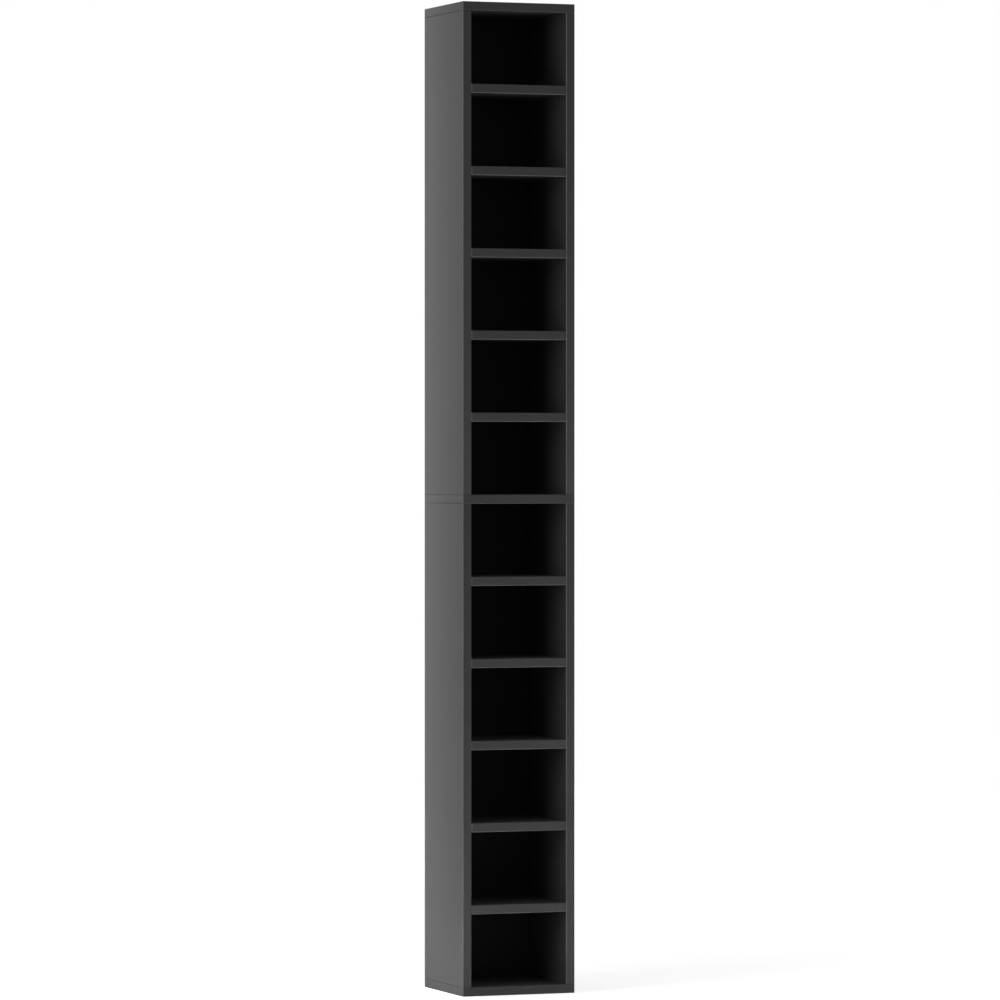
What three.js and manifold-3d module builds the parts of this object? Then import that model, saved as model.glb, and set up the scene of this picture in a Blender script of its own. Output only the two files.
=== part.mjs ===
// A tall, narrow storage tower for discs, open at the front.
// Two sections of six compartments stand one on the other, and share the board between them.
// Millimetres, +Z up. The origin is on the floor under the tower's centre, and the open front faces -Y.

import * as THREE from 'three';
import { mergeVertices } from 'three/addons/utils/BufferGeometryUtils.js';
import Module from 'manifold-3d';

// The tower
const towerWidth = 212;
const towerDepth = 202;
const towerHeight = 1760;
const compartmentsPerSection = 6;

// Melamine-faced chipboard, with a rounded edge band on each edge that shows
const boardThickness = 16;
const bandRadius = 1;

// Hardboard backs, nailed on from behind, a little smaller than the sections that they close
const backThickness = 3;
const backInset = 1;
const backPanelGap = 1;

// Loose shelves: the room at their ends and behind them, and the slack between a shelf and its supports
const shelfEndGap = 0.5;
const shelfRearGap = 1;
const shelfSeatGap = 0.3;

// Seams between boards: a side that stands on a level board, a level board laid on sides, the top board drawn down
// by its screws alone, and the nailed backs
const seatedSeam = 0.1;
const laidSeam = 0.2;
const screwedSeam = 0.3;
const nailedSeam = 0.2;

// Shelf supports: a peg in a blind bore, a flange against the side, and a flat tongue with a rib under it
const supportInset = 35;
const pegRadius = 2.5;
const pegLength = 8;
const pegDrop = 0.75;
const pegBoreSpare = 0.5;
const flangeRadius = 3;
const flangeThickness = 1.2;
const flangeSeam = 0.1;
const tongueLength = 10;
const tongueWidth = 9;
const tongueThickness = 2;
const ribLength = 6;
const ribThickness = 1.6;
const ribDrop = 1.4;

// Countersunk connecting screws, driven through a level board into the end of a side
const screwInset = 40;
const screwLength = 50;
const screwHeadRadius = 5;
const screwRimHeight = 0.6;
const screwHeadHeight = 3;
const screwCollarRadius = 3.5;
const screwCollarLength = 14;
const screwShankRadius = 3;
const screwTipLength = 4;
const screwRecess = 0.3;
const socketRadius = 2.3;
const socketDepth = 2.5;

// Wooden dowels, glued into the lower sides, on which the upper section is set
const dowelInset = 70;
const dowelRadius = 4;
const dowelReach = 11;
const dowelBuried = 19;
const dowelChamfer = 1;
const dowelBoreSpare = 1;

// Room round what sits in a bore, how far a cutter passes the face that it cuts, and the steps of round forms
const boreClearance = 0.2;
const overrun = 1;
const roundSides = 12;
const arcSteps = 2;
const bandSteps = 3;

// Sizes that follow from those above
const carcassDepth = towerDepth - backThickness - nailedSeam;
const carcassCentreY = (carcassDepth - towerDepth) / 2;
const clearWidth = towerWidth - 2 * boardThickness;
const sectionPitch = (towerHeight - boardThickness) / 2;
const compartmentPitch = sectionPitch / compartmentsPerSection;
const shelvesPerSection = compartmentsPerSection - 1;

const sections = [
  { name: 'lower', baseHeight: 0, topSeam: laidSeam, topFastening: dowelsOut },
  { name: 'upper', baseHeight: sectionPitch, topSeam: screwedSeam, topFastening: screwsOut },
];
const hands = [
  { name: 'left', sign: -1 },
  { name: 'right', sign: 1 },
];
const ends = [
  { name: 'front', sign: -1 },
  { name: 'rear', sign: 1 },
];

const wasm = await Module();
wasm.setup();

// Turns a closed geometry into a solid that can be joined and cut.
function solidFrom(geometry) {
  geometry.deleteAttribute('normal');
  geometry.deleteAttribute('uv');
  const merged = mergeVertices(geometry);
  const mesh = new wasm.Mesh({
    numProp: 3,
    vertProperties: merged.attributes.position.array,
    triVerts: Uint32Array.from(merged.index.array),
  });
  return new wasm.Manifold(mesh);
}

// Turns a solid back into a geometry.
function geometryFrom(solid) {
  const mesh = solid.getMesh();
  const geometry = new THREE.BufferGeometry();
  geometry.setAttribute('position', new THREE.BufferAttribute(mesh.vertProperties, 3));
  geometry.setIndex(new THREE.BufferAttribute(mesh.triVerts, 1));
  geometry.computeVertexNormals();
  return geometry;
}

// Finishes
function melamine() {
  return new THREE.MeshStandardMaterial({ color: 0x414142, roughness: 0.5, flatShading: true });
}

function hardboard() {
  return new THREE.MeshStandardMaterial({ color: 0x2e2e2f, roughness: 0.65, flatShading: true });
}

function blackNylon() {
  return new THREE.MeshStandardMaterial({ color: 0x232324, roughness: 0.5, flatShading: true });
}

// Adds a named piece to a group at a place in it.
function addPiece(group, name, geometry, material, x, y, z) {
  const piece = new THREE.Mesh(geometry, material);
  piece.name = name;
  piece.position.set(x, y, z);
  group.add(piece);
  return piece;
}

// Extrudes an outline along Z, centred on its length. Each of its arcs gets this many steps.
function extrude(outline, length, steps) {
  const geometry = new THREE.ExtrudeGeometry(outline, {
    depth: length,
    bevelEnabled: false,
    curveSegments: steps,
  });
  return geometry.translate(0, 0, -length / 2);
}

// An outline with its two front corners rounded: width along X, depth along Y. With a board's thickness for its
// width it is the board's section, and otherwise the board seen from above.
function frontBandedOutline(width, depth) {
  const outline = new THREE.Shape();
  const cornerX = width / 2 - bandRadius;
  const cornerY = bandRadius - depth / 2;
  outline.absarc(-cornerX, cornerY, bandRadius, Math.PI, 1.5 * Math.PI, false);
  outline.absarc(cornerX, cornerY, bandRadius, 1.5 * Math.PI, 2 * Math.PI, false);
  outline.lineTo(width / 2, depth / 2);
  outline.lineTo(-width / 2, depth / 2);
  outline.closePath();
  return outline;
}

// A full-width board's outline seen from the front: width along X, thickness along Y, all corners rounded.
function endBandedOutline() {
  const outline = new THREE.Shape();
  const cornerX = towerWidth / 2 - bandRadius;
  const cornerY = boardThickness / 2 - bandRadius;
  outline.absarc(cornerX, cornerY, bandRadius, 0, 0.5 * Math.PI, false);
  outline.absarc(-cornerX, cornerY, bandRadius, 0.5 * Math.PI, Math.PI, false);
  outline.absarc(-cornerX, -cornerY, bandRadius, Math.PI, 1.5 * Math.PI, false);
  outline.absarc(cornerX, -cornerY, bandRadius, 1.5 * Math.PI, 2 * Math.PI, false);
  outline.closePath();
  return outline;
}

// Revolves a profile of [radius, height] points, listed from the bottom up, round Z.
function revolve(profile) {
  const points = profile.map(([radius, height]) => new THREE.Vector2(radius, height));
  return solidFrom(new THREE.LatheGeometry(points, roundSides).rotateX(Math.PI / 2));
}

// The form of a connecting screw with its head's flat face at the origin and its shank down -Z.
// grow widens it all round, and top carries its head on above the origin, which makes its bore's cutter.
function screwForm(grow, top) {
  return revolve([
    [0, -screwLength],
    [screwShankRadius + grow, screwTipLength - screwLength],
    [screwShankRadius + grow, -screwCollarLength - grow],
    [screwCollarRadius + grow, -screwCollarLength - grow],
    [screwCollarRadius + grow, -screwHeadHeight - grow],
    [screwHeadRadius + grow, -screwRimHeight - grow],
    [screwHeadRadius + grow, top],
    [0, top],
  ]);
}

// A connecting screw with the hexagon socket in its head.
function screw() {
  const depth = socketDepth + overrun;
  const socket = new THREE.CylinderGeometry(socketRadius, socketRadius, depth, 6);
  socket.rotateX(Math.PI / 2);
  socket.translate(0, 0, depth / 2 - socketDepth);
  return screwForm(0, 0).subtract(solidFrom(socket));
}

// A dowel that stands up out of the origin plane, buried below it.
function dowel() {
  return revolve([
    [0, -dowelBuried],
    [dowelRadius, -dowelBuried],
    [dowelRadius, dowelReach - dowelChamfer],
    [dowelRadius - dowelChamfer, dowelReach],
    [0, dowelReach],
  ]);
}

// A cutter for a blind bore that opens at the origin plane and goes up.
function blindBore(radius, depth) {
  return revolve([
    [0, -overrun],
    [radius + boreClearance, -overrun],
    [radius + boreClearance, depth],
    [0, depth],
  ]);
}

// The places along a board's depth of two like fastenings, each the same distance in from its edge.
function pairAlongDepth(inset) {
  return ends.map((end) => end.sign * (carcassDepth / 2 - inset));
}

// What stands out of a side's end: screws that come through the board beyond it, or dowels that go into it.
function screwsOut(endHeight, seam) {
  const headHeight = endHeight + seam + boardThickness - screwRecess;
  return pairAlongDepth(screwInset).map((y) => screw().translate([0, y, headHeight]));
}

function dowelsOut(endHeight) {
  return pairAlongDepth(dowelInset).map((y) => dowel().translate([0, y, endHeight]));
}

// The height of a shelf's support above the foot of its section, at the top of the tongue.
function supportHeight(shelf) {
  return shelf * compartmentPitch - shelfSeatGap;
}

// A left side with its screws, dowels and blind bores, about its own centre. Its inner face looks along +X.
function leftSide(section, length, centreHeight) {
  const above = section.topFastening(length / 2, section.topSeam);
  const below = screwsOut(length / 2, seatedSeam).map((fastening) => fastening.rotate([180, 0, 0]));
  let solid = solidFrom(extrude(frontBandedOutline(boardThickness, carcassDepth), length, bandSteps));
  for (const fastening of [...above, ...below]) {
    solid = solid.add(fastening);
  }
  for (let shelf = 1; shelf <= shelvesPerSection; shelf += 1) {
    const boreHeight = supportHeight(shelf) - pegDrop - centreHeight;
    for (const y of pairAlongDepth(supportInset)) {
      const bore = blindBore(pegRadius, pegLength + pegBoreSpare).rotate([0, -90, 0]);
      solid = solid.subtract(bore.translate([boardThickness / 2, y, boreHeight]));
    }
  }
  return solid;
}

// A level board about its own centre, with its front edge and that edge's two ends rounded.
function frontBandedBoard(width, depth) {
  const section = frontBandedOutline(boardThickness, depth);
  const along = extrude(section, width + 2 * overrun, bandSteps).rotateY(Math.PI / 2);
  const plan = extrude(frontBandedOutline(width, depth), boardThickness + 2 * overrun, bandSteps);
  return solidFrom(along).intersect(solidFrom(plan));
}

// A full-width board, with both its ends banded and rounded too.
function fullWidthBoard() {
  const across = extrude(endBandedOutline(), carcassDepth + 2 * overrun, bandSteps).rotateX(Math.PI / 2);
  return frontBandedBoard(towerWidth, carcassDepth).intersect(solidFrom(across));
}

// Countersunk bores for the screws of both sides. The heads are in the +Z face, or in the -Z one when turned.
function boreForScrews(board, turn) {
  let solid = board;
  for (const hand of hands) {
    for (const y of pairAlongDepth(screwInset)) {
      const cutter = screwForm(boreClearance, overrun);
      const place = [hand.sign * (towerWidth - boardThickness) / 2, y, boardThickness / 2 - screwRecess];
      solid = solid.subtract(cutter.translate(place).rotate([turn, 0, 0]));
    }
  }
  return solid;
}

// Blind bores in a board's underside for the dowels of both sides below it.
function boreForDowels(board) {
  let solid = board;
  for (const hand of hands) {
    for (const y of pairAlongDepth(dowelInset)) {
      const bore = blindBore(dowelRadius, dowelReach + dowelBoreSpare - laidSeam);
      const place = [hand.sign * (towerWidth - boardThickness) / 2, y, -boardThickness / 2];
      solid = solid.subtract(bore.translate(place));
    }
  }
  return solid;
}

// A support with its tongue's upper face at the origin's height: the tongue goes along +X, the peg along -X.
function support() {
  const pegEnd = shelfEndGap / 2;
  const peg = new THREE.CylinderGeometry(pegRadius, pegRadius, pegLength + pegEnd, roundSides);
  peg.rotateZ(Math.PI / 2);
  peg.translate((pegEnd - pegLength) / 2, 0, -pegDrop);

  const root = flangeSeam + flangeThickness / 2;
  const flangeOutline = new THREE.Shape();
  const rise = Math.asin(pegDrop / flangeRadius);
  flangeOutline.absarc(0, -pegDrop, flangeRadius, Math.PI - rise, 2 * Math.PI + rise, false);
  flangeOutline.closePath();
  const flange = extrude(flangeOutline, flangeThickness, arcSteps);
  flange.rotateX(Math.PI / 2);
  flange.rotateZ(Math.PI / 2);
  flange.translate(root, 0, 0);

  const tongueOutline = new THREE.Shape();
  const noseX = tongueLength - tongueWidth / 2;
  tongueOutline.absarc(noseX, 0, tongueWidth / 2, -0.5 * Math.PI, 0.5 * Math.PI, false);
  tongueOutline.lineTo(root, tongueWidth / 2);
  tongueOutline.lineTo(root, -tongueWidth / 2);
  tongueOutline.closePath();
  const tongue = extrude(tongueOutline, tongueThickness, arcSteps).translate(0, 0, -tongueThickness / 2);

  const ribOutline = new THREE.Shape();
  ribOutline.moveTo(root, -tongueThickness / 2);
  ribOutline.lineTo(root, -tongueThickness - ribDrop);
  ribOutline.lineTo(ribLength, -tongueThickness);
  ribOutline.lineTo(ribLength, -tongueThickness / 2);
  ribOutline.closePath();
  const rib = extrude(ribOutline, ribThickness, arcSteps).rotateX(Math.PI / 2);

  return solidFrom(peg).add(solidFrom(flange)).add(solidFrom(tongue)).add(solidFrom(rib));
}

// Adds a section's two sides, its back, its loose shelves and the supports that carry them.
function addSection(tower, section) {
  const group = new THREE.Group();
  group.position.z = section.baseHeight;
  tower.add(group);

  const sideLength = sectionPitch - boardThickness - seatedSeam - section.topSeam;
  const sideCentreHeight = sectionPitch - section.topSeam - sideLength / 2;
  const left = leftSide(section, sideLength, sideCentreHeight);
  for (const hand of hands) {
    const geometry = geometryFrom(hand.sign < 0 ? left : left.mirror([1, 0, 0]));
    const x = hand.sign * (towerWidth - boardThickness) / 2;
    const name = `${section.name}_${hand.name}_side`;
    addPiece(group, name, geometry, melamine(), x, carcassCentreY, sideCentreHeight);
  }

  const isLowest = section === sections[0];
  const backFoot = isLowest ? backInset : (boardThickness + backPanelGap) / 2;
  const backHead = isLowest
    ? sectionPitch + (boardThickness - backPanelGap) / 2
    : sectionPitch + boardThickness - backInset;
  const backHeight = backHead - backFoot;
  const back = new THREE.BoxGeometry(towerWidth - 2 * backInset, backThickness, backHeight);
  const backY = (towerDepth - backThickness) / 2;
  addPiece(group, `${section.name}_back_panel`, back, hardboard(), 0, backY, backFoot + backHeight / 2);

  const shelfDepth = carcassDepth - shelfRearGap;
  const shelfWidth = clearWidth - 2 * shelfEndGap;
  const shelfY = (shelfDepth - towerDepth) / 2;
  const firstNumber = isLowest ? 1 : shelvesPerSection + 1;
  const shelfSolid = frontBandedBoard(shelfWidth, shelfDepth);
  const supportSolid = support();
  for (let shelf = 1; shelf <= shelvesPerSection; shelf += 1) {
    const name = `shelf_${firstNumber + shelf - 1}`;
    const shelfHeight = shelf * compartmentPitch + boardThickness / 2;
    addPiece(group, name, geometryFrom(shelfSolid), melamine(), 0, shelfY, shelfHeight);
    for (const hand of hands) {
      for (const end of ends) {
        const x = hand.sign * clearWidth / 2;
        const y = carcassCentreY + end.sign * (carcassDepth / 2 - supportInset);
        const supportName = `${name}_support_${hand.name}_${end.name}`;
        const geometry = geometryFrom(supportSolid);
        const piece = addPiece(group, supportName, geometry, blackNylon(), x, y, supportHeight(shelf));
        piece.rotation.z = hand.sign > 0 ? Math.PI : 0;
      }
    }
  }
}

const tower = new THREE.Group();
for (const section of sections) {
  addSection(tower, section);
}

// The three full-width boards, each screwed to the sides, with the heads out of sight on top and underneath
const top = geometryFrom(boreForScrews(fullWidthBoard(), 0));
const middle = geometryFrom(boreForDowels(boreForScrews(fullWidthBoard(), 180)));
const bottom = geometryFrom(boreForScrews(fullWidthBoard(), 180));
addPiece(tower, 'bottom_panel', bottom, melamine(), 0, carcassCentreY, boardThickness / 2);
addPiece(tower, 'middle_panel', middle, melamine(), 0, carcassCentreY, sectionPitch + boardThickness / 2);
addPiece(tower, 'top_panel', top, melamine(), 0, carcassCentreY, towerHeight - boardThickness / 2);

export default tower;
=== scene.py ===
# A tall, narrow storage tower for discs: anthracite melamine boards, hardboard backs and ten loose shelves.
# It stands on a pale floor in soft studio light from its left, seen from its front left at about half height.
import math

import bmesh
import bpy
from mathutils import Matrix, Vector


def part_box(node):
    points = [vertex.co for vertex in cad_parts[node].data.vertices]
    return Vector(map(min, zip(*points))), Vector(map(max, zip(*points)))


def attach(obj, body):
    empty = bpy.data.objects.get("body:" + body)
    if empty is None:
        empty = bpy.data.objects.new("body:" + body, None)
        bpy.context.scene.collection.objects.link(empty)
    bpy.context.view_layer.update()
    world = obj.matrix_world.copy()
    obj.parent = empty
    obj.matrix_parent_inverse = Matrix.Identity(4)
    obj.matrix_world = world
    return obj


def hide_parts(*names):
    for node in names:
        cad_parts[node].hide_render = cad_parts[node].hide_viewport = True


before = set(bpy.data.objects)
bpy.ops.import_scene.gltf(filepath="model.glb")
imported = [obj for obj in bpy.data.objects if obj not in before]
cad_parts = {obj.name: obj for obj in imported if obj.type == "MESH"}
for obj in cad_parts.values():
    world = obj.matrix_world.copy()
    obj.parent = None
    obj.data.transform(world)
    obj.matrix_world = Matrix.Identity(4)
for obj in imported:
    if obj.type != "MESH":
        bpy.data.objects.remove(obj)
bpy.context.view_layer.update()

# Camera
# A long lens ten metres away, twenty degrees round to the tower's left and a little above half its height, so
# that the upright edges stay upright and nearly parallel.
camera_yaw = math.radians(20.578)
camera_pitch = math.radians(0.503)
camera_distance = 10.180
camera_sideways = 0.0018
camera_height = 0.967
camera_lens = 204.71
camera_sensor = 36.0
camera_reach = 100.0

camera_data = bpy.data.cameras.new("camera")
camera_data.sensor_width = camera_sensor
camera_data.lens = camera_lens
camera_data.clip_end = camera_reach
camera = bpy.data.objects.new("camera", camera_data)
bpy.context.scene.collection.objects.link(camera)
camera.location = (
    camera_sideways * math.cos(camera_yaw) - camera_distance * math.sin(camera_yaw),
    -camera_sideways * math.sin(camera_yaw) - camera_distance * math.cos(camera_yaw),
    camera_height,
)
camera.rotation_euler = (math.pi / 2 - camera_pitch, 0, -camera_yaw)
bpy.context.scene.camera = camera
bpy.context.scene.view_settings.view_transform = "Standard"

# Level boards
# The top, middle and bottom boards are 16 mm chipboard, faced on both sides with anthracite melamine paper.
# They lie across the ends of the sides and are screwed to them, so that banding closes their ends as well as
# their front.
mm = 0.001
melamine_dark_hex = "#313132"
melamine_pale_hex = "#373738"
melamine_roughness = 0.48
melamine_gloss_range = 0.06
melamine_specular = 0.2
paper_drift = 140 * mm
paper_drift_detail = 1.0
# The pearl grain of a real press plate is about 0.4 mm, and is made three times as coarse so that it shows.
pearl_grain = 1.2 * mm
pearl_depth = 0.04 * mm
pearl_detail = 2.0
pearl_strength = 0.3
# Painted shade: the undersides are painted darker than the faces, as the shade under the boards. Only their
# mattness is the backing paper's own.
backing_and_shade_hex = "#1b1b1c"
backing_roughness = 0.95
band_hex = "#343435"
band_roughness = 0.48
band_drift_power = 2.0
# Painted highlight: the arrises that face left or down are painted pale, partly as trimmed ABS whitens and
# partly as the left lamp and the floor light them.
trim_and_highlight_hex = "#7a7a7b"
highlight_facing_middle = 0.35
highlight_facing_reach = 0.55
# Painted shade: the lower arrises of the level boards are painted near black, as the shade in the seams under
# them.
glue_hex = "#101011"
glue_side = (0, 0.3, -1)
chip_dark_hex = "#6b5335"
chip_pale_hex = "#b39468"
chip_length = 3.0 * mm
chip_thickness = 0.9 * mm
chip_roughness = 0.9
edge_share = 0.2
flat_share = 0.98


def linear(hex_colour):
    """An sRGB hex colour as linear red, green, blue and alpha."""
    channels = [int(hex_colour[start:start + 2], 16) / 255 for start in (1, 3, 5)]
    return tuple(c / 12.92 if c <= 0.04045 else ((c + 0.055) / 1.055) ** 2.4 for c in channels) + (1.0,)


def new_tree(name):
    """The empty node tree of a new material, and the material."""
    material = bpy.data.materials.new(name)
    material.use_nodes = True
    material.node_tree.nodes.clear()
    return material.node_tree, material


def add_node(tree, kind, inputs=None, **settings):
    """Adds a node with its settings. An input takes a value, a socket, or a node for its first one in use."""
    node = tree.nodes.new(kind)
    for name, value in settings.items():
        setattr(node, name, value)
    for key, value in (inputs or {}).items():
        if isinstance(key, int):
            socket = node.inputs[key]
        else:
            socket = next(one for one in node.inputs if one.enabled and one.name == key)
        if isinstance(value, bpy.types.Node):
            value = next(one for one in value.outputs if one.enabled)
        if isinstance(value, bpy.types.NodeSocket):
            tree.links.new(value, socket)
        else:
            socket.default_value = value
    return node


def board_masks(tree, normal, banded_axis, bare_axis):
    """Where a board has each of its coats, told by the way that its faces point.

    The rounded arrises of the banding that face left or down are painted pale, partly as trimmed ABS whitens
    and partly as a painted highlight where the left lamp and the floor light them. Where the ends are banded
    too, the lower arrises are painted near black, as painted shade in the seams under the boards.
    """
    facing = add_node(tree, "ShaderNodeSeparateXYZ", {"Vector": normal}).outputs
    unsigned = add_node(tree, "ShaderNodeVectorMath", {0: normal}, operation="ABSOLUTE")
    along = add_node(tree, "ShaderNodeSeparateXYZ", {"Vector": unsigned}).outputs
    widest = add_node(tree, "ShaderNodeMath", {0: along["X"], 1: along["Y"]}, operation="MAXIMUM")
    widest = add_node(tree, "ShaderNodeMath", {0: widest, 1: along["Z"]}, operation="MAXIMUM")
    rounded = add_node(tree, "ShaderNodeMath", {0: widest, 1: flat_share}, operation="LESS_THAN")

    under = add_node(tree, "ShaderNodeMath", {0: facing["Z"], 1: -flat_share}, operation="LESS_THAN")
    front = add_node(tree, "ShaderNodeMath", {0: facing["Y"], 1: -edge_share}, operation="LESS_THAN")
    rear = add_node(tree, "ShaderNodeMath", {0: facing["Y"], 1: flat_share}, operation="GREATER_THAN")
    # Only the arrises that face left or down, towards the left lamp and the floor, get the pale paint of the
    # painted highlight.
    leftwards = add_node(tree, "ShaderNodeMath", {0: facing["X"], 1: edge_share}, operation="LESS_THAN")
    lower = add_node(
        tree, "ShaderNodeMath", {0: facing["Z"], 1: -highlight_facing_middle, 2: highlight_facing_reach},
        operation="COMPARE",
    )
    trim_and_highlight = add_node(tree, "ShaderNodeMath", {0: front, 1: rounded}, operation="MULTIPLY")
    trim_and_highlight = add_node(tree, "ShaderNodeMath", {0: trim_and_highlight, 1: leftwards}, operation="MULTIPLY")
    trim_and_highlight = add_node(tree, "ShaderNodeMath", {0: trim_and_highlight, 1: lower}, operation="MULTIPLY")

    masks = {"backing_and_shade": under, "banding": front, "trim_and_highlight": trim_and_highlight, "core": rear}
    if bare_axis is not None:
        end = add_node(
            tree, "ShaderNodeMath", {0: along[bare_axis], 1: flat_share}, operation="GREATER_THAN"
        )
        masks["core"] = add_node(tree, "ShaderNodeMath", {0: rear, 1: end}, operation="MAXIMUM")
    if banded_axis is not None:
        end = add_node(
            tree, "ShaderNodeMath", {0: along[banded_axis], 1: edge_share}, operation="GREATER_THAN"
        )
        masks["banding"] = add_node(tree, "ShaderNodeMath", {0: front, 1: end}, operation="MAXIMUM")
        # Painted shade in the seams: the lower arrises of banded boards are painted near black.
        glued = add_node(tree, "ShaderNodeVectorMath", {0: normal, 1: glue_side}, operation="DOT_PRODUCT")
        glued = add_node(
            tree, "ShaderNodeMath", {0: glued.outputs["Value"], 1: edge_share}, operation="GREATER_THAN"
        )
        masks["glue"] = add_node(tree, "ShaderNodeMath", {0: glued, 1: rounded}, operation="MULTIPLY")
    return masks


def paper_colour(tree, place):
    """The print of the melamine paper, which drifts a little between two tones along a board."""
    drift = add_node(
        tree, "ShaderNodeTexNoise",
        {"Vector": place, "Scale": 1 / paper_drift, "Detail": paper_drift_detail},
    )
    return add_node(
        tree, "ShaderNodeMix",
        {"Factor": drift, "A": linear(melamine_dark_hex), "B": linear(melamine_pale_hex)},
        data_type="RGBA",
    )


def band_colour(tree, height, tones):
    """ABS banding in the paper's colour. Tones gives two heights and what the colour drifts to at each."""
    if tones is None:
        return linear(band_hex)
    (head, head_tone), (foot, foot_tone) = tones
    down = add_node(tree, "ShaderNodeMapRange", {"Value": height, "From Min": head, "From Max": foot})
    down = add_node(tree, "ShaderNodeMath", {0: down, 1: band_drift_power}, operation="POWER")
    tone = add_node(tree, "ShaderNodeMapRange", {"Value": down, "To Min": head_tone, "To Max": foot_tone})
    return add_node(
        tree, "ShaderNodeVectorMath", {0: linear(band_hex)[:3], "Scale": tone}, operation="SCALE"
    )


def chip_colour(tree, place, thickness_axis):
    """The bare edge of chipboard, whose brown chips lie flat in the board, each in a tone of its own."""
    scale = [1 / chip_length] * 3
    scale[thickness_axis] = 1 / chip_thickness
    lying = add_node(tree, "ShaderNodeMapping", {"Vector": place, "Scale": scale})
    chips = add_node(tree, "ShaderNodeTexVoronoi", {"Vector": lying, "Scale": 1.0}).outputs["Color"]
    tone = add_node(tree, "ShaderNodeSeparateColor", {"Color": chips})
    return add_node(
        tree, "ShaderNodeMix", {"Factor": tone, "A": linear(chip_dark_hex), "B": linear(chip_pale_hex)},
        data_type="RGBA",
    )


def board_material(name, thickness_axis, banded_axis=None, bare_axis=None, band_tones=None, fastenings=()):
    """Melamine paper over chipboard, hard and satin, with the fine pearl grain of the plate that pressed it.

    The front and the ends along banded_axis have ABS banding. The underside has matt backing paper, painted
    darker as painted shade under the board. The rear and the ends along bare_axis show the chips. Each
    fastening gives the height past which the board is a screw or a dowel, 1 or -1 for up or down, its colour
    and roughness, and if it is metal.
    """
    tree, material = new_tree(name)
    outputs = add_node(tree, "ShaderNodeTexCoord").outputs
    place = outputs["Object"]
    masks = board_masks(tree, outputs["Normal"], banded_axis, bare_axis)
    height = add_node(tree, "ShaderNodeSeparateXYZ", {"Vector": place}).outputs["Z"]
    coats = [
        # The darker underside is painted shade.
        (masks["backing_and_shade"], linear(backing_and_shade_hex), backing_roughness),
        (masks["banding"], band_colour(tree, height, band_tones), band_roughness),
        # The pale left and lower arrises are partly a painted highlight.
        (masks["trim_and_highlight"], linear(trim_and_highlight_hex), band_roughness),
        (masks["core"], chip_colour(tree, place, thickness_axis), chip_roughness),
    ]
    if "glue" in masks:
        coats.append((masks["glue"], linear(glue_hex), band_roughness))
    metalness = 0.0
    for start, direction, hex_colour, roughness, is_metal in fastenings:
        signed = add_node(tree, "ShaderNodeMath", {0: height, 1: direction}, operation="MULTIPLY")
        past = add_node(tree, "ShaderNodeMath", {0: signed, 1: start * direction}, operation="GREATER_THAN")
        coats.append((past, linear(hex_colour), roughness))
        if is_metal:
            metalness = add_node(tree, "ShaderNodeMath", {0: metalness, 1: past}, operation="MAXIMUM")

    grain = add_node(
        tree, "ShaderNodeTexNoise", {"Vector": place, "Scale": 1 / pearl_grain, "Detail": pearl_detail}
    )
    colour = paper_colour(tree, place)
    gloss = add_node(
        tree, "ShaderNodeMapRange",
        {
            "Value": grain,
            "To Min": melamine_roughness - melamine_gloss_range,
            "To Max": melamine_roughness + melamine_gloss_range,
        },
    )
    for mask, coat_colour, coat_roughness in coats:
        colour = add_node(
            tree, "ShaderNodeMix", {"Factor": mask, "A": colour, "B": coat_colour}, data_type="RGBA"
        )
        gloss = add_node(tree, "ShaderNodeMix", {"Factor": mask, "A": gloss, "B": coat_roughness})
    pearl = add_node(
        tree, "ShaderNodeBump", {"Height": grain, "Strength": pearl_strength, "Distance": pearl_depth}
    )
    shader = add_node(
        tree, "ShaderNodeBsdfPrincipled",
        {
            "Base Color": colour,
            "Roughness": gloss,
            "Metallic": metalness,
            "Specular IOR Level": melamine_specular,
            "Normal": pearl,
        },
    )
    add_node(tree, "ShaderNodeOutputMaterial", {"Surface": shader})
    return material


level_board = board_material("anthracite melamine on chipboard, level board", 2, banded_axis=0)
for name in ("bottom_panel", "middle_panel", "top_panel"):
    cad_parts[name].material_slots[0].material = level_board

# Sides
# The four sides are cut from the same board, with banding on the front edge alone, which is paler towards the
# foot. Zinc-plated screws, bright grey, stand out of their ends into the level boards, and matt beech dowels
# stand out of the upper ends of the lower two.
zinc_hex = "#a6a8aa"
zinc_roughness = 0.32
beech_hex = "#c79f6c"
beech_roughness = 0.65
lower_head_tone = 0.78
lower_foot_tone = 1.3
upper_head_tone = 0.95
upper_foot_tone = 1.35

bottom_board_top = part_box("bottom_panel")[1][2]
middle_board_foot, middle_board_top = (corner[2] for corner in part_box("middle_panel"))
top_board_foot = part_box("top_panel")[0][2]
lower_side = board_material(
    "anthracite melamine on chipboard, lower side", 0, bare_axis=2,
    band_tones=[(middle_board_foot, lower_head_tone), (bottom_board_top, lower_foot_tone)],
    fastenings=[
        (bottom_board_top, -1, zinc_hex, zinc_roughness, True),
        (middle_board_foot, 1, beech_hex, beech_roughness, False),
    ],
)
upper_side = board_material(
    "anthracite melamine on chipboard, upper side", 0, bare_axis=2,
    band_tones=[(top_board_foot, upper_head_tone), (middle_board_top, upper_foot_tone)],
    fastenings=[
        (middle_board_top, -1, zinc_hex, zinc_roughness, True),
        (top_board_foot, 1, zinc_hex, zinc_roughness, True),
    ],
)
for section_name, side_material in (("lower", lower_side), ("upper", upper_side)):
    for hand in ("left", "right"):
        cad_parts[f"{section_name}_{hand}_side"].material_slots[0].material = side_material

# Middle board
# It is screwed up into the upper sides and set down on the lower ones, and lies flat on their ends. The solid
# leaves open seams there, so the same board, thickened to close them, stands for it and keeps the light out.
seated_seam = 0.1 * mm
laid_seam = 0.2 * mm
closed_seam = 0.02 * mm
weld_reach = 0.001 * mm
smooth_limit = math.radians(35)


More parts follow.
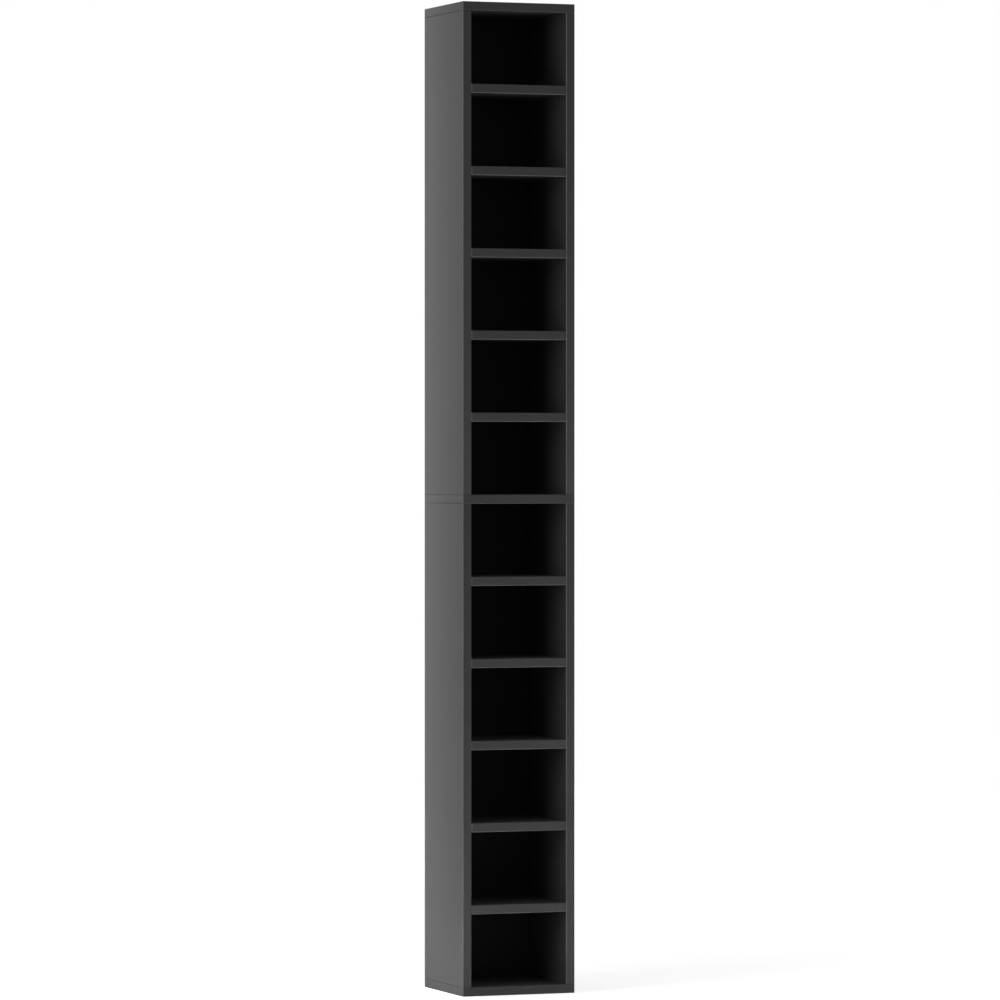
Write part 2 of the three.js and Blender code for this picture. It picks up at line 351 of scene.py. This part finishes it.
def add_piece(name, form, material, smooth_turn=smooth_limit):
    """Turns a form into a piece of the carcass. Faces that meet at less than smooth_turn shade as one."""
    for face in form.faces:
        face.smooth = True
    for edge in form.edges:
        edge.smooth = edge.calc_face_angle(math.pi) < smooth_turn
    mesh = bpy.data.meshes.new(name)
    form.to_mesh(mesh)
    form.free()
    mesh.materials.append(material)
    piece = bpy.data.objects.new(name, mesh)
    bpy.context.scene.collection.objects.link(piece)
    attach(piece, "carcass")
    return piece


middle_board = bmesh.new()
middle_board.from_mesh(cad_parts["middle_panel"].data)
bmesh.ops.remove_doubles(middle_board, verts=middle_board.verts, dist=weld_reach)
middle_height = (middle_board_foot + middle_board_top) / 2
lower_half = [vert for vert in middle_board.verts if vert.co.z < middle_height]
upper_half = [vert for vert in middle_board.verts if vert.co.z >= middle_height]
bmesh.ops.translate(middle_board, vec=(0, 0, closed_seam - laid_seam), verts=lower_half)
bmesh.ops.translate(middle_board, vec=(0, 0, seated_seam - closed_seam), verts=upper_half)
piece = add_piece("middle_board", middle_board, level_board, smooth_turn=0)
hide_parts("middle_panel")

# Back panels
# Two sheets of 3 mm hardboard close the sections from behind. Their smooth face is lacquered nearly matt and
# painted darker than the boards, partly the lacquer's colour and partly painted shade deep in the
# compartments.
# The rear and the edges are bare brown fibre, with the print of the wire mesh that the sheet was pressed on.
# The lacquer's colour is darkened with painted shade, as deep in the compartments.
lacquer_and_shade_hex = "#1d1d1e"
lacquer_roughness = 0.6
lacquer_specular = 0.08
lacquer_turn_share = 0.5
fibre_dark_hex = "#4f3521"
fibre_pale_hex = "#7d5836"
fibre_roughness = 0.85
fibre_length = 1.6 * mm
fibre_detail = 4.0
fibre_bend = 1.5
mesh_pitch = 1.5 * mm
mesh_depth = 0.1 * mm
mesh_strength = 0.5
wave_turn = 20.0

tree, hardboard = new_tree("hardboard, lacquered on its front")
place = add_node(tree, "ShaderNodeTexCoord").outputs
rear_facing = add_node(tree, "ShaderNodeSeparateXYZ", {"Vector": place["Normal"]}).outputs["Y"]
bare = add_node(tree, "ShaderNodeMath", {0: rear_facing, 1: -lacquer_turn_share}, operation="GREATER_THAN")
fibres = add_node(
    tree, "ShaderNodeTexNoise",
    {
        "Vector": place["Object"],
        "Scale": 1 / fibre_length,
        "Detail": fibre_detail,
        "Distortion": fibre_bend,
    },
)
fibre_colour = add_node(
    tree, "ShaderNodeMix", {"Factor": fibres, "A": linear(fibre_dark_hex), "B": linear(fibre_pale_hex)},
    data_type="RGBA",
)
colour = add_node(
    tree, "ShaderNodeMix", {"Factor": bare, "A": linear(lacquer_and_shade_hex), "B": fibre_colour}, data_type="RGBA"
)
gloss = add_node(tree, "ShaderNodeMix", {"Factor": bare, "A": lacquer_roughness, "B": fibre_roughness})
wires = [
    add_node(
        tree, "ShaderNodeTexWave",
        {"Vector": place["Object"], "Scale": 2 * math.pi / (wave_turn * mesh_pitch)},
        bands_direction=direction,
    )
    for direction in ("X", "Z")
]
wires = add_node(tree, "ShaderNodeMath", {0: wires[0], 1: wires[1]}, operation="MAXIMUM")
print_height = add_node(tree, "ShaderNodeMath", {0: wires, 1: bare}, operation="MULTIPLY")
mesh_print = add_node(
    tree, "ShaderNodeBump", {"Height": print_height, "Strength": mesh_strength, "Distance": mesh_depth}
)
shader = add_node(
    tree, "ShaderNodeBsdfPrincipled",
    {"Base Color": colour, "Roughness": gloss, "Specular IOR Level": lacquer_specular, "Normal": mesh_print},
)
add_node(tree, "ShaderNodeOutputMaterial", {"Surface": shader})
for name in ("lower_back_panel", "upper_back_panel"):
    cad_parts[name].material_slots[0].material = hardboard

# Back nails
# Steel panel pins with round heads, drawn bright, so that their gloss is a little uneven. They hold each back
# panel to the rear edges of the boards, about every thirteen centimetres up the sides and twice across each
# end.
nail_head_radius = 1.6 * mm
nail_head_height = 0.5 * mm
nail_crown_radius = 1.0 * mm
nail_sunk = 0.3 * mm
nail_sides = 16
nail_end_inset = 55 * mm
nail_spaces = 6
nail_edge_inset = 4 * mm
nail_level_share = 0.3
steel_hex = "#9a9c9f"
steel_roughness = 0.34
steel_gloss_range = 0.1
# Real drawing marks are finer than this, and are made coarse enough to show.
steel_drawing = 0.4 * mm


def turned(profile, sides):
    """A closed solid turned round Z from a profile of radius and height, with both its ends on the axis."""
    form = bmesh.new()
    points = [form.verts.new((radius, 0, height)) for radius, height in profile]
    edges = [form.edges.new(pair) for pair in zip(points, points[1:])]
    bmesh.ops.spin(
        form, geom=points + edges, cent=(0, 0, 0), axis=(0, 0, 1), angle=2 * math.pi, steps=sides,
        use_merge=True,
    )
    bmesh.ops.remove_doubles(form, verts=form.verts, dist=weld_reach)
    bmesh.ops.recalc_face_normals(form, faces=form.faces)
    return form


def gather(whole, part, placement):
    """Adds a placed copy of one form to another."""
    passing = bpy.data.meshes.new("passing")
    part.to_mesh(passing)
    passing.transform(placement)
    whole.from_mesh(passing)
    bpy.data.meshes.remove(passing)


tree, bright_steel = new_tree("bright drawn steel")
place = add_node(tree, "ShaderNodeTexCoord").outputs
drawing = add_node(tree, "ShaderNodeTexNoise", {"Vector": place["Object"], "Scale": 1 / steel_drawing})
gloss = add_node(
    tree, "ShaderNodeMapRange",
    {
        "Value": drawing,
        "To Min": steel_roughness - steel_gloss_range,
        "To Max": steel_roughness + steel_gloss_range,
    },
)
shader = add_node(
    tree, "ShaderNodeBsdfPrincipled", {"Base Color": linear(steel_hex), "Roughness": gloss, "Metallic": 1.0}
)
add_node(tree, "ShaderNodeOutputMaterial", {"Surface": shader})

nail_head = turned(
    [
        (0, -nail_sunk),
        (nail_head_radius, -nail_sunk),
        (nail_head_radius, nail_head_height / 2),
        (nail_crown_radius, nail_head_height),
        (0, nail_head_height),
    ],
    nail_sides,
)
outwards = Matrix.Rotation(-math.pi / 2, 4, "X")
side_centre = sum(corner[0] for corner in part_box("lower_right_side")) / 2
for section_name in ("lower", "upper"):
    low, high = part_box(f"{section_name}_back_panel")
    first, last = low[2] + nail_end_inset, high[2] - nail_end_inset
    places = [
        (hand * side_centre, first + (last - first) * step / nail_spaces)
        for hand in (-1, 1) for step in range(nail_spaces + 1)
    ]
    places += [
        (hand * side_centre * nail_level_share, height)
        for hand in (-1, 1) for height in (low[2] + nail_edge_inset, high[2] - nail_edge_inset)
    ]
    nails = bmesh.new()
    for x, z in places:
        gather(nails, nail_head, Matrix.Translation((x, high[1], z)) @ outwards)
    add_piece(f"{section_name}_back_nails", nails, bright_steel)
nail_head.free()

# Shelves
# Ten loose shelves of the same board lie between the sides. Only the front edge is banded, because the ends
# face the sides and the rear faces the back.
shelf_count = 10

shelf_board = board_material("anthracite melamine on chipboard, shelf", 2, bare_axis=0)
shelf_names = [f"shelf_{number}" for number in range(1, shelf_count + 1)]
for name in shelf_names:
    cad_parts[name].material_slots[0].material = shelf_board

# Shelf supports
# Four moulded black nylon supports carry each shelf. A 5 mm peg is pushed into a blind bore in the side, a
# flange stops it, and a flat tongue with a rib under it goes under the shelf.
peg_radius = 2.5 * mm
peg_length = 8 * mm
peg_drop = 0.75 * mm
peg_lead = 0.6 * mm
peg_sides = 24
flange_radius = 3 * mm
flange_thickness = 1.2 * mm
flange_seam = 0.1 * mm
tongue_length = 10 * mm
tongue_width = 9 * mm
tongue_thickness = 2 * mm
tongue_softness = 0.3 * mm
nose_segments = 8
rim_segments = 2
rim_turn = math.radians(60)
rib_length = 6 * mm
rib_thickness = 1.6 * mm
rib_drop = 1.4 * mm
nylon_hex = "#161617"
nylon_roughness = 0.45
nylon_gloss_range = 0.08
nylon_specular = 0.4
# A real mould's spark-eroded grain is finer than this, and is made coarse enough to show.
spark_grain = 0.6 * mm
spark_depth = 0.02 * mm
spark_detail = 3.0
spark_strength = 0.4

# Moulded nylon is near black and half matt, with the fine even grain of its spark-eroded mould.
tree, black_nylon = new_tree("moulded black nylon")
place = add_node(tree, "ShaderNodeTexCoord").outputs
spark = add_node(
    tree, "ShaderNodeTexNoise",
    {"Vector": place["Object"], "Scale": 1 / spark_grain, "Detail": spark_detail},
)
gloss = add_node(
    tree, "ShaderNodeMapRange",
    {
        "Value": spark,
        "To Min": nylon_roughness - nylon_gloss_range,
        "To Max": nylon_roughness + nylon_gloss_range,
    },
)
eroded = add_node(
    tree, "ShaderNodeBump", {"Height": spark, "Strength": spark_strength, "Distance": spark_depth}
)
shader = add_node(
    tree, "ShaderNodeBsdfPrincipled",
    {
        "Base Color": linear(nylon_hex),
        "Roughness": gloss,
        "Specular IOR Level": nylon_specular,
        "Normal": eroded,
    },
)
add_node(tree, "ShaderNodeOutputMaterial", {"Surface": shader})


def block(low, high):
    """A box between two corners."""
    form = bmesh.new()
    bmesh.ops.create_cube(form, size=1.0)
    low, high = Vector(low), Vector(high)
    bmesh.ops.scale(form, vec=high - low, verts=form.verts)
    bmesh.ops.translate(form, vec=(low + high) / 2, verts=form.verts)
    return form


def round_edges(form, edges, radius, segments):
    """Rounds some edges of a form."""
    bmesh.ops.bevel(
        form, geom=edges, offset=radius, affect="EDGES", segments=segments, profile=0.5, material=-1,
        clamp_overlap=True,
    )


# A support is made at the origin. Its tongue lies along +X with its upper face at the origin's height, and
# its peg points along -X.
flange_face = flange_seam + flange_thickness
along_x = Matrix.Translation((0, 0, -peg_drop)) @ Matrix.Rotation(math.pi / 2, 4, "Y")


def peg_form():
    """The peg, with a lead round the end that goes into the bore first."""
    peg = turned(
        [
            (0, -peg_length),
            (peg_radius - peg_lead, -peg_length),
            (peg_radius, peg_lead - peg_length),
            (peg_radius, 2 * flange_seam),
            (0, 2 * flange_seam),
        ],
        peg_sides,
    )
    bmesh.ops.transform(peg, matrix=along_x, verts=peg.verts)
    return peg


def flange_form():
    """The round flange, cut off level with the tongue's upper face so that the shelf clears it."""
    flange = turned(
        [
            (0, flange_seam),
            (flange_radius, flange_seam),
            (flange_radius, flange_face - tongue_softness),
            (flange_radius - tongue_softness, flange_face),
            (0, flange_face),
        ],
        peg_sides,
    )
    bmesh.ops.transform(flange, matrix=along_x, verts=flange.verts)
    cut = bmesh.ops.bisect_plane(
        flange, geom=flange.verts[:] + flange.edges[:] + flange.faces[:],
        plane_co=(0, 0, 0), plane_no=(0, 0, 1), clear_outer=True,
    )
    rim = [one for one in cut["geom_cut"] if isinstance(one, bmesh.types.BMEdge)]
    bmesh.ops.holes_fill(flange, edges=rim)
    return flange


def tongue_form():
    """The flat tongue, with a round nose and softened rims."""
    tongue = block(
        (flange_face / 2, -tongue_width / 2, -tongue_thickness), (tongue_length, tongue_width / 2, 0)
    )
    nose = [
        edge for edge in tongue.edges
        if all(vert.co.x > tongue_length / 2 for vert in edge.verts)
        and edge.verts[0].co.y == edge.verts[1].co.y
    ]
    round_edges(tongue, nose, tongue_width / 2 - tongue_softness / 2, nose_segments)
    rims = [edge for edge in tongue.edges if abs(edge.verts[0].co.z - edge.verts[1].co.z) < tongue_softness]
    rims = [edge for edge in rims if edge.calc_face_angle(0) > rim_turn]
    round_edges(tongue, rims, tongue_softness, rim_segments)
    return tongue


def rib_form():
    """The rib under the tongue, which slopes up from the flange to nothing."""
    rib = block(
        (flange_face / 2, -rib_thickness / 2, -tongue_thickness - rib_drop),
        (rib_length, rib_thickness / 2, -tongue_thickness / 2),
    )
    for vert in rib.verts:
        if vert.co.x > flange_face and vert.co.z < -tongue_thickness:
            vert.co.z = -tongue_thickness + tongue_softness / 2
    return rib


support = bmesh.new()
for part in (peg_form(), flange_form(), tongue_form(), rib_form()):
    gather(support, part, Matrix.Identity(4))
    part.free()

inner_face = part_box("lower_right_side")[0][0]
for shelf_name in shelf_names:
    for hand_name, hand in (("left", -1), ("right", 1)):
        for end in ("front", "rear"):
            node = f"{shelf_name}_support_{hand_name}_{end}"
            low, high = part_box(node)
            seat = Matrix.Translation((hand * inner_face, (low[1] + high[1]) / 2, high[2]))
            turn = Matrix.Rotation(math.pi if hand > 0 else 0, 4, "Z")
            copy = bmesh.new()
            gather(copy, support, seat @ turn)
            piece = add_piece(f"{node}_moulding", copy, black_nylon)
            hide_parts(node)
support.free()

# Screw caps
# Round stickers, 13 mm across and punched from the boards' own paper. They are pressed on over the four screw
# heads in the upper face of the top board.
cap_radius = 6.5 * mm
cap_thickness = 0.35 * mm
cap_softness = 0.2 * mm
cap_sides = 40
cap_screw_inset = 40 * mm

cap = turned(
    [
        (0, 0),
        (cap_radius, 0),
        (cap_radius, cap_thickness - cap_softness),
        (cap_radius - cap_softness, cap_thickness),
        (0, cap_thickness),
    ],
    cap_sides,
)
low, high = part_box("top_panel")
cap_places = [
    (hand * side_centre, y) for hand in (-1, 1) for y in (low[1] + cap_screw_inset, high[1] - cap_screw_inset)
]
for number, (x, y) in enumerate(cap_places, start=1):
    copy = bmesh.new()
    gather(copy, cap, Matrix.Translation((x, y, high[2])))
    add_piece(f"screw_cap_{number}", copy, level_board)
cap.free()

# Floor
# A wide white studio floor, a hair below the tower so that the two faces don't lie in one plane. The camera
# and the tower's gloss see it bright, but for the shadow round the tower's foot. It has no underside, so that
# the bottom board can be looked at from below.
floor_radius = 6.0
floor_sides = 96
floor_drop = 0.05 * mm
floor_hex = "#e6e6e6"
floor_glow = 0.72
floor_far_glow = 0.86
floor_fade_start = 0.6
floor_fade_end = 3.0


def seen_directly(tree):
    """1 for the camera's own rays and for what gloss and glass show, and 0 for the light that others get."""
    path = add_node(tree, "ShaderNodeLightPath").outputs
    seen = add_node(
        tree, "ShaderNodeMath", {0: path["Is Camera Ray"], 1: path["Is Glossy Ray"]}, operation="MAXIMUM"
    )
    return add_node(
        tree, "ShaderNodeMath", {0: seen, 1: path["Is Transmission Ray"]}, operation="MAXIMUM"
    )


floor_form = bmesh.new()
bmesh.ops.create_circle(floor_form, cap_ends=True, segments=floor_sides, radius=floor_radius)
bmesh.ops.translate(floor_form, vec=(0, 0, -floor_drop), verts=floor_form.verts)
floor_mesh = bpy.data.meshes.new("floor")
floor_form.to_mesh(floor_mesh)
floor_form.free()
floor = bpy.data.objects.new("floor", floor_mesh)
bpy.context.scene.collection.objects.link(floor)

tree, white_floor = new_tree("white studio floor")
place = add_node(tree, "ShaderNodeTexCoord").outputs["Object"]
away = add_node(tree, "ShaderNodeVectorMath", {0: place}, operation="LENGTH").outputs["Value"]
glow = add_node(
    tree, "ShaderNodeMapRange",
    {
        "Value": away,
        "From Min": floor_fade_start,
        "From Max": floor_fade_end,
        "To Min": floor_glow,
        "To Max": floor_far_glow,
    },
)
glow = add_node(tree, "ShaderNodeMath", {0: seen_directly(tree), 1: glow}, operation="MULTIPLY")
lit = add_node(tree, "ShaderNodeBsdfDiffuse", {"Color": linear(floor_hex)})
bright = add_node(tree, "ShaderNodeEmission", {"Strength": glow})
both = add_node(tree, "ShaderNodeAddShader", {0: lit, 1: bright})
from_below = add_node(tree, "ShaderNodeNewGeometry").outputs["Backfacing"]
clear = add_node(tree, "ShaderNodeBsdfTransparent")
one_sided = add_node(tree, "ShaderNodeMixShader", {0: from_below, 1: both, 2: clear})
add_node(tree, "ShaderNodeOutputMaterial", {"Surface": one_sided})
floor_mesh.materials.append(white_floor)

# Studio surroundings
# White wherever the camera or a gloss sees them, as a studio's walls are, and dim as a light of their own,
# which softens the shadows.
surroundings_hex = "#ffffff"
surroundings_light = 0.24

world = bpy.data.worlds.new("white studio")
bpy.context.scene.world = world
world.use_nodes = True
tree = world.node_tree
tree.nodes.clear()
strength = add_node(
    tree, "ShaderNodeMapRange", {"Value": seen_directly(tree), "To Min": surroundings_light, "To Max": 1.0}
)
background = add_node(
    tree, "ShaderNodeBackground", {"Color": linear(surroundings_hex), "Strength": strength}
)
add_node(tree, "ShaderNodeOutputWorld", {"Surface": background})

# Lamps
# A tall soft box stands to the tower's left and a low one to its right, both a little in front of it, so that
# they reach just inside the compartments. A gridded strip behind on the left rakes along the side, and two
# gridded lamps overhead light the floor beside and before the tower, which lifts the foot of it.
tall_box_size = (1.0, 2.2)
low_box_size = (1.0, 0.4)
strip_size = (0.05, 2.2)
strip_spread = math.radians(24)
floor_lamp_size = (0.35, 0.35)
floor_lamp_height = 1.2
floor_lamp_spread = math.radians(16)


def soft_box(name, place, aim, size, power, spread=math.pi):
    """An area lamp that the camera doesn't see. A grid on it narrows its spread."""
    lamp_data = bpy.data.lights.new(name, "AREA")
    lamp_data.shape = "RECTANGLE"
    lamp_data.size, lamp_data.size_y = size
    lamp_data.energy = power
    lamp_data.spread = spread
    lamp = bpy.data.objects.new(name, lamp_data)
    bpy.context.scene.collection.objects.link(lamp)
    lamp.location = place
    lamp.rotation_euler = (Vector(aim) - Vector(place)).to_track_quat("-Z", "Y").to_euler()
    lamp.visible_camera = False


soft_box("left_box", place=(-2.35, -0.95, 1.3), aim=(0, 0, 0.9), size=tall_box_size, power=28.0)
soft_box("right_box", place=(1.6, -0.9, 0.2), aim=(0, 0, 0.4), size=low_box_size, power=17.0)
soft_box(
    "raking_strip", place=(-0.3, 0.6, 0.9), aim=(-0.105, 0.2, 0.9), size=strip_size, power=0.08,
    spread=strip_spread,
)
for name, x, y, power in (("left_floor_lamp", -0.38, 0.02, 2.0), ("front_floor_lamp", -0.05, -0.45, 1.0)):
    soft_box(
        name, place=(x, y, floor_lamp_height), aim=(x, y, 0), size=floor_lamp_size, power=power,
        spread=floor_lamp_spread,
    )
